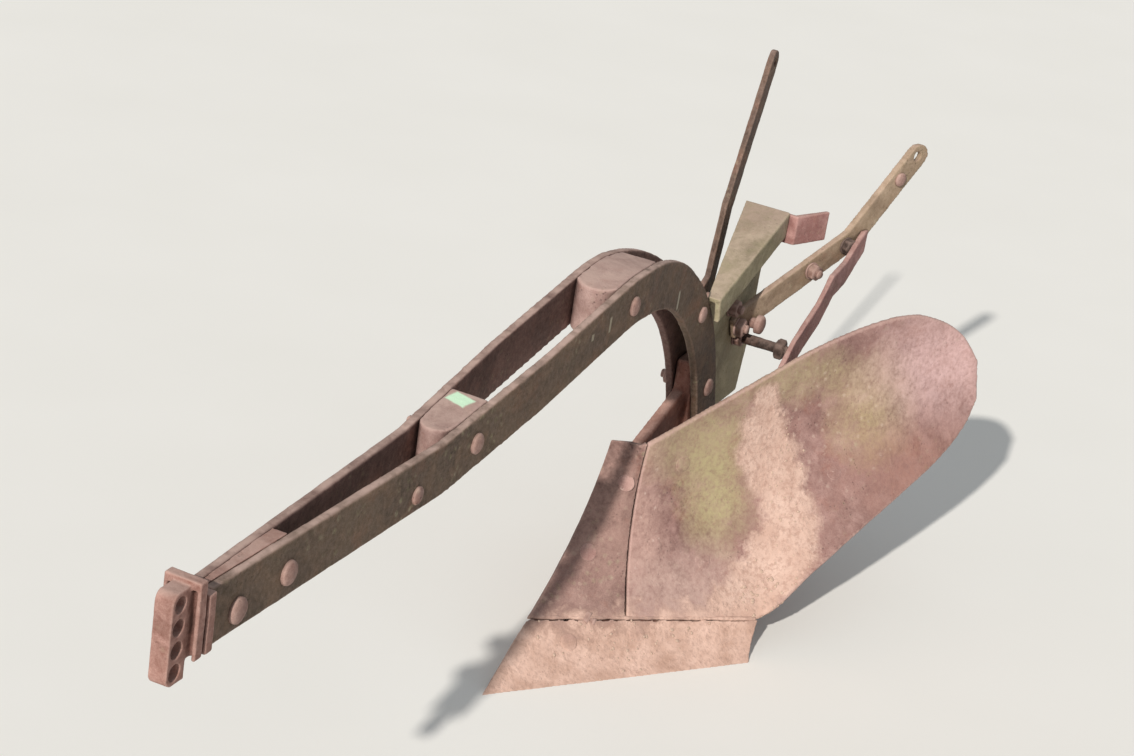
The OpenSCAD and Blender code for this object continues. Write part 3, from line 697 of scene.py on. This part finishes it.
def nut(bm, at, axis, flats, height, thread, stub, sides=6, washered=True):
    """A nut on its washer, turned at random, with the thread's end beyond it."""
    place = place_frame(at, axis)
    turn = Matrix.Rotation(random.uniform(0, math.pi), 4, "Z")
    low = 0.0
    if washered:
        low = WASHER
        washer(bm, place, flats * WASHER_SHARE)
    top = low + height
    body = sided(sides, flats, 1)
    rows = [
        ring(sided(sides, flats, flats * FOOT_SHARE), low - NUT_DEPTH),
        ring(body, low + LOWER_CHAMFER),
        ring(body, top - UPPER_CHAMFER),
        ring(sided(sides, flats, flats * CROWN_SHARE), top),
    ]
    skin_rings(bm, rows, place @ turn)
    thread_end(bm, place, top, thread, stub)


def rod(bm, a, b, radius):
    """A round, slightly uneven rod from a to b."""
    a, b = Vector(a), Vector(b)
    length = (b - a).length
    radii = [radius * (1 + ROD_UNEVENNESS * math.sin(ROD_BEAT * k)) for k in range(ROD_STEPS + 1)]
    rows = [ring(r, length * k / ROD_STEPS, ROD_SIDES) for k, r in enumerate(radii)]
    skin_rings(bm, rows, place_frame(a, b - a), ROUGH_ROD)


LEFTWARD = (0, 1, 0)
RIGHTWARD = (0, -1, 0)
# Bolts through the beam: X, Z, half of the gap between the bars, head radius
BEAM_Y = 0.025
BAR_THICKNESS = 0.010
BEAM_BOLTS = (
    (1.144, 0.416, 0.0050, 0.0130),
    (1.064, 0.421, 0.0078, 0.0125),
    (0.836, 0.415, 0.0159, 0.0095),
    (0.722, 0.432, 0.0200, 0.0115),
    (0.356, 0.475, 0.0250, 0.0115),
    (0.085, 0.379, 0.0125, 0.0105),
    (0.014, 0.257, 0.0125, 0.0115),
    (-0.023, 0.165, 0.0125, 0.0115),
)
# A head's height, and a nut's width across the flats and thread, as shares of the head's radius
HEAD_RISE = 0.5
BEAM_NUT_FLATS = 1.75
BEAM_NUT_THREAD = 1.02
# The bolt that has no spacer around it, so that its shank shows between the bars
BARE_BOLT = 2
SHANK_RADIUS = 0.006
# How far the shank reaches into each bar
SHANK_HOLD = 0.004


def add_beam_bolts(material):
    heads, nuts = bmesh.new(), bmesh.new()
    for x, z, half, radius in BEAM_BOLTS:
        out = half + BAR_THICKNESS
        dome(heads, (x, BEAM_Y + out, z), LEFTWARD, radius, radius * HEAD_RISE)
        flats, thread = radius * BEAM_NUT_FLATS, radius * BEAM_NUT_THREAD
        nut(nuts, (x, BEAM_Y - out, z), RIGHTWARD, flats, height=0.011, thread=thread, stub=0.006)
    x, z, half, _ = BEAM_BOLTS[BARE_BOLT]
    reach = half + SHANK_HOLD
    rod(heads, (x, BEAM_Y - reach, z), (x, BEAM_Y + reach, z), SHANK_RADIUS)
    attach(new_piece("beam_bolt_heads", heads, material), "root")
    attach(new_piece("beam_bolt_nuts", nuts, material), "root")


# Places near the countersunk bolts of share, shin and moldboard
PLOUGH_BOLTS = (
    ("share", (0.345, 0.040, 0.030)),
    ("share", (0.270, 0.095, 0.030)),
    ("shin", (0.285, 0.030, 0.120)),
    ("shin", (0.235, 0.045, 0.200)),
    ("moldboard", (0.215, 0.085, 0.120)),
    ("moldboard", (0.165, 0.085, 0.215)),
    ("moldboard", (0.170, 0.135, 0.100)),
    ("moldboard", (-0.0077, 0.2241, 0.1887)),
    ("moldboard", (0.0397, 0.1498, 0.2657)),
)
PLOUGH_HEAD_RADIUS = 0.0105
# How deep a flush head sits in its plate, and from how far before the face its place is looked for
SUNK = 0.0006
BEFORE_BOLTS = 0.08
# How far behind the face a nut is looked for, how thick bolt and casting may be, and how square its seat is
BEHIND = 0.09
THICKEST = 0.07
SQUARE = -0.75


def add_plough_bolts(heads_material, nuts_material):
    """Flush countersunk heads on the face, and their nuts on whatever casting or pad lies behind."""
    heads, nuts = bmesh.new(), bmesh.new()
    backs = [Surface(node) for node in ("frog", "moldboard_brace", "moldboard_stay")]
    for node, near in PLOUGH_BOLTS:
        at, normal = Surface(node).hit(Vector(near) + BEFORE_BOLTS * FACE_OUT, -FACE_OUT)
        flush_head(heads, at - SUNK * normal, normal, PLOUGH_HEAD_RADIUS)
        hits = [back.hit(at - BEHIND * normal, normal) for back in backs]
        seats = [p for p, out in hits if p and out.dot(normal) < SQUARE and (p - at).length < THICKEST]
        if seats:
            nut(nuts, max(seats, key=lambda p: (p - at).length), -normal, **USUAL_NUT)
    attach(new_piece("plough_bolt_heads", heads, heads_material), "root")
    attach(new_piece("plough_bolt_nuts", nuts, nuts_material), "root")


# Bolts through the landside and its heel: X, Z
LANDSIDE_BOLTS = ((0.315, 0.048), (0.185, 0.052), (0.085, 0.052), (0.012, 0.032), (-0.022, 0.032))
LANDSIDE_FACE = -0.006
LANDSIDE_HEAD_RADIUS = 0.0115
# A plane on the ploughed side of the frog's foot, from which nuts are looked for
INSIDE = 0.06


def add_landside_bolts(material):
    bm = bmesh.new()
    castings = [Surface(node) for node in ("frog", "landside_heel")]
    for x, z in LANDSIDE_BOLTS:
        flush_head(bm, (x, LANDSIDE_FACE + SUNK, z), RIGHTWARD, LANDSIDE_HEAD_RADIUS)
        hits = [casting.hit((x, INSIDE, z), RIGHTWARD)[0] for casting in castings]
        seats = [p.y for p in hits if p is not None]
        if seats:
            nut(bm, (x, max(seats), z), LEFTWARD, **USUAL_NUT)
    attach(new_piece("landside_bolts", bm, material), "root")


# Outer faces of the right leg, of the bracket's web and of the right strap where it starts
LEG_RIGHT = 0.0025
WEB_LEFT = 0.037
RIGHT_STRAP_OUT = -0.0055
# How far the left strap turns out from the beam
LEFT_SPLAY = math.radians(24)
# Places of bolts and rivets, X and Z
RIGHT_STRAP_BOLTS = ((0.010, 0.326), (-0.050, 0.346))
LEFT_STRAP_START = (-0.066, 0.316)
EDGE_BOLT = (-0.094, 0.3165)
UPPER_BOLTS = ((-0.182, 0.376), (-0.236, 0.404))
END_BOLT = (-0.312, 0.488)
STAY_BOLT = (-0.090, 0.2937)
CROSS_RIVETS = (-0.158, 0.434)
CROSS_RIVET_YS = (0.018, 0.046)
# Heads and nuts of these bolts, and the radii of the rods
STRAP_HEAD = dict(radius=0.0105, height=0.006)
EDGE_HEAD = dict(radius=0.0125, height=0.010, collar=0.005)
END_HEAD = dict(radius=0.0095, height=0.005)
RIVET_HEAD = dict(radius=0.007, height=0.005)
SLEEVE_NUT = dict(flats=0.020, height=0.010, thread=0.012, stub=0.006)
SMALL_NUT = dict(flats=0.019, height=0.009, thread=0.012)
STAY_NUT = dict(flats=0.021, thread=0.013)
SLEEVE_RADIUS = 0.010
EDGE_RADIUS = 0.0075
STAY_RADIUS = 0.007
# How far below the web's outer face the sleeve ends and the two long bolts start
SLEEVE_END = 0.007
ROD_START = 0.002
# Y from which the left strap's outer face is looked for
BESIDE_STRAP = 0.3
# Y of the left strap's square nut, of the edge bolt's head and end, and of the stay bolt's nut and end
START_NUT_Y = 0.045
EDGE_BOLT_YS = (0.063, 0.066)
STAY_BOLT_YS = (0.096, 0.100)


def at_y(place, y):
    return (place[0], y, place[1])


def add_right_strap_bolts(bm):
    """Two heads on the right strap, the rear one with a sleeve through to the web."""
    for place in RIGHT_STRAP_BOLTS:
        dome(bm, at_y(place, RIGHT_STRAP_OUT), RIGHTWARD, **STRAP_HEAD)
    rear = RIGHT_STRAP_BOLTS[1]
    rod(bm, at_y(rear, LEG_RIGHT), at_y(rear, WEB_LEFT - SLEEVE_END), SLEEVE_RADIUS)
    nut(bm, at_y(rear, WEB_LEFT), LEFTWARD, **SLEEVE_NUT)


def add_left_strap_bolts(bm, black):
    """A square nut on the strap's lower end, a long bolt at its lower edge and three bolts further up."""
    nut(bm, at_y(LEFT_STRAP_START, START_NUT_Y), LEFTWARD, **SMALL_NUT, stub=0.005, sides=4)
    rod(bm, at_y(EDGE_BOLT, WEB_LEFT - ROD_START), at_y(EDGE_BOLT, EDGE_BOLT_YS[1]), EDGE_RADIUS)
    dome(bm, at_y(EDGE_BOLT, EDGE_BOLT_YS[0]), LEFTWARD, **EDGE_HEAD)
    strap = Surface("handle_strap_left")
    out = Vector((math.sin(LEFT_SPLAY), math.cos(LEFT_SPLAY), 0))
    for place, piece in zip(UPPER_BOLTS, (bm, black)):
        nut(piece, strap.hit(at_y(place, BESIDE_STRAP), RIGHTWARD)[0], out, **SMALL_NUT, stub=0.006)
    dome(bm, strap.hit(at_y(END_BOLT, BESIDE_STRAP), RIGHTWARD)[0], out, **END_HEAD)


def add_stay_bolt(bm, black):
    """A long dark bolt from the web to the stay, with a nut on the web and a square one at its end."""
    rod(black, at_y(STAY_BOLT, WEB_LEFT - ROD_START), at_y(STAY_BOLT, STAY_BOLT_YS[1]), STAY_RADIUS)
    end = at_y(STAY_BOLT, STAY_BOLT_YS[0])
    nut(black, end, LEFTWARD, **STAY_NUT, height=0.011, stub=0.005, sides=4, washered=False)
    nut(bm, at_y(STAY_BOLT, WEB_LEFT), LEFTWARD, **STAY_NUT, height=0.010, stub=0.002)


def add_iron_bolts(material, dark):
    """Bolts of the straps, the cross piece and the bracket."""
    bm, black = bmesh.new(), bmesh.new()
    add_right_strap_bolts(bm)
    add_left_strap_bolts(bm, black)
    for y in CROSS_RIVET_YS:
        dome(bm, at_y(CROSS_RIVETS, y), (-1, 0, 0), **RIVET_HEAD)
    add_stay_bolt(bm, black)
    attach(new_piece("strap_bolts", bm, material), "root")
    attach(new_piece("dark_bolts", black, dark), "root")


# Soil, and a painted shadow in the shin's seam

# Where crumbs of dried soil lie: node, middle, spread, how many, largest size
CRUMBS = (
    ("share", (0.30, 0.09, 0.03), (0.12, 0.10, 0.02), 90, 0.0026),
    ("moldboard", (0.12, 0.215, 0.06), (0.06, 0.05, 0.04), 80, 0.0024),
    ("moldboard", (0.06, 0.19, 0.19), (0.03, 0.035, 0.08), 90, 0.0020),
)
CRUMB_FLATNESS = 0.45
CRUMB_LUMPINESS = 0.35
# A crumb's size is its largest size times a random share to this power, so that most are small
CRUMB_POWER = 1.6
BEFORE_CRUMBS = 0.12


def lump(bm, at, normal, size):
    """A small irregular crumb lying on a surface."""
    place = place_frame(at, normal)
    made = bmesh.ops.create_icosphere(bm, subdivisions=2, radius=1)["verts"]
    seed = Vector(at) * 97
    wide, deep = random.uniform(0.7, 1.3), random.uniform(0.7, 1.3)
    high = CRUMB_FLATNESS * random.uniform(0.7, 1.2)
    for v in made:
        p = v.co * (1 + CRUMB_LUMPINESS * noise.noise(v.co * 1.7 + seed)) * size
        v.co = place @ Vector((p.x * wide, p.y * deep, p.z * high))


def add_crumbs(material):
    bm = bmesh.new()
    for node, middle, spread, count, largest in CRUMBS:
        surface = Surface(node)
        for _ in range(count):
            near = Vector(m + random.gauss(0, 0.5) * w for m, w in zip(middle, spread))
            at, normal = surface.hit(near + BEFORE_CRUMBS * FACE_OUT, -FACE_OUT)
            if at is not None:
                lump(bm, at, normal, largest * random.uniform(0.25, 1) ** CRUMB_POWER)
    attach(new_piece("soil_crumbs", bm, material), "root")


# The seam between the share and the plates above it, from the landside to the wing
SEAM_ENDS = (Vector((0.3752, 0.0009, 0.0589)), Vector((0.157, 0.213, 0.0402)))
SEAM_STEPS = 140
SEAM_SIDES = 14
# The bead's radius and depth, how much both change, and how rough its surface is
SEAM_SOIL = 0.0026
SEAM_SWELL = 0.0011
SEAM_SINK = 0.0008
ROUGH_SOIL = 0.0006


def add_seam_soil(material):
    """Soil packed into the seam above the share, as one uneven bead."""
    bm = bmesh.new()
    a, b = SEAM_ENDS
    place = place_frame(a, b - a)
    length = (b - a).length
    rows = []
    for k in range(SEAM_STEPS + 1):
        spot = a.lerp(b, k / SEAM_STEPS)
        radius = SEAM_SOIL + SEAM_SWELL * noise.noise(spot * 90)
        depth = SEAM_SOIL + SEAM_SINK * noise.noise(spot * 45)
        inward = place.to_3x3().inverted() @ (-FACE_OUT * depth)
        along = length * k / SEAM_STEPS
        rows.append([(x + inward.x, y + inward.y, along) for x, y, _ in ring(radius, 0, SEAM_SIDES)])
    skin_rings(bm, rows, place, ROUGH_SOIL)
    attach(new_piece("seam_soil", bm, material), "root")


# Across the face, from the landside towards the wing
FACE_ACROSS = Vector((-0.65, 0.76, 0)).normalized()
# The heights between which the shin's rear seam is looked for, and the places from which that starts
SHIN_SEAM_LOW = 0.062
SHIN_SEAM_HIGH = 0.300
SHIN_SEAM_STEPS = 80
SHIN_SEAM_NEAR = (0.24, 0.03)
SHIN_SIDE = -0.06
BOARD_SIDE = 0.10
HALVINGS = 14
BEFORE_FACE = 0.15 * FACE_OUT
# How far beside the seam the shin has to be met, and how near to the found place
JUST_BESIDE = 0.003
SEAM_GAP = 0.012
# The painted shadow bead's radius, how much that changes, how deep it lies, and over how many steps it thins
# out on top
SHIN_SEAM_SHADOW = 0.0025
SHADOW_SWELL = 0.35
SHADOW_DEPTH = 0.8
SHADOW_FADE = 6
SHADOW_SIDES = 12
ROUGH_SHADOW = 0.0003


def shin_seam_spot(shin, board, z):
    """Where the shin gives way to the moldboard at one height, or None beyond the shin's upper end."""
    level = Vector((*SHIN_SEAM_NEAR, z))
    near, far = SHIN_SIDE, BOARD_SIDE
    found = None
    for _ in range(HALVINGS):
        middle = (near + far) / 2
        start = level + middle * FACE_ACROSS + BEFORE_FACE
        on_shin, on_board = [surface.hit(start, -FACE_OUT)[0] for surface in (shin, board)]
        if on_board and (on_shin is None or (on_board - start).length < (on_shin - start).length):
            far, found = middle, on_board
        else:
            near = middle
    beside = shin.hit(level + (near - JUST_BESIDE) * FACE_ACROSS + BEFORE_FACE, -FACE_OUT)[0]
    return found if found and beside and (beside - found).length < SEAM_GAP else None


# Painted shadow: the dark line along the shin's rear seam is laid on as a near-black bead
def add_shin_seam_shadow(material):
    """A near-black bead in the seam between shin and moldboard, as painted shadow, thinner towards its upper
    end.
    """
    shin, board = Surface("shin"), Surface("moldboard")
    rise = (SHIN_SEAM_HIGH - SHIN_SEAM_LOW) / SHIN_SEAM_STEPS
    found = [shin_seam_spot(shin, board, SHIN_SEAM_LOW + rise * k) for k in range(SHIN_SEAM_STEPS + 1)]
    spots = [spot - SHADOW_DEPTH * SHIN_SEAM_SHADOW * FACE_OUT for spot in found if spot]
    rows = []
    for k, spot in enumerate(spots):
        taper = min(1, (len(spots) - 1 - k) / SHADOW_FADE + 0.3)
        radius = SHIN_SEAM_SHADOW * taper * (1 + SHADOW_SWELL * noise.noise(spot * 80))
        rows.append([spot + x * FACE_ACROSS + y * FACE_OUT for x, y, _ in ring(radius, 0, SHADOW_SIDES)])
    bm = bmesh.new()
    skin_rings(bm, rows, Matrix.Identity(4), ROUGH_SHADOW)
    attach(new_piece("shin_seam_shadow", bm, material), "root")


def main():
    bpy.context.scene.view_settings.view_transform = "Standard"
    add_camera()
    add_sun()
    add_sky()
    add_floor()
    made = {}
    for name, (dark, middle, light, wear) in MATERIALS.items():
        made[name] = rusty(name, dark, middle, light, **wear)
    for node, material, slot, voxel, wave in SKINS:
        skin(node, made[material], voxel, wave)
    add_beam_bolts(made["bolt_rust"])
    add_plough_bolts(made["board_rust"], made["bolt_rust"])
    add_landside_bolts(made["bolt_rust"])
    add_iron_bolts(made["bolt_rust"], made["dark_bolt_and_painted_shadow_rust"])
    add_crumbs(made["dried_soil"])
    add_seam_soil(made["share_rust"])
    add_shin_seam_shadow(made["dark_bolt_and_painted_shadow_rust"])


main()
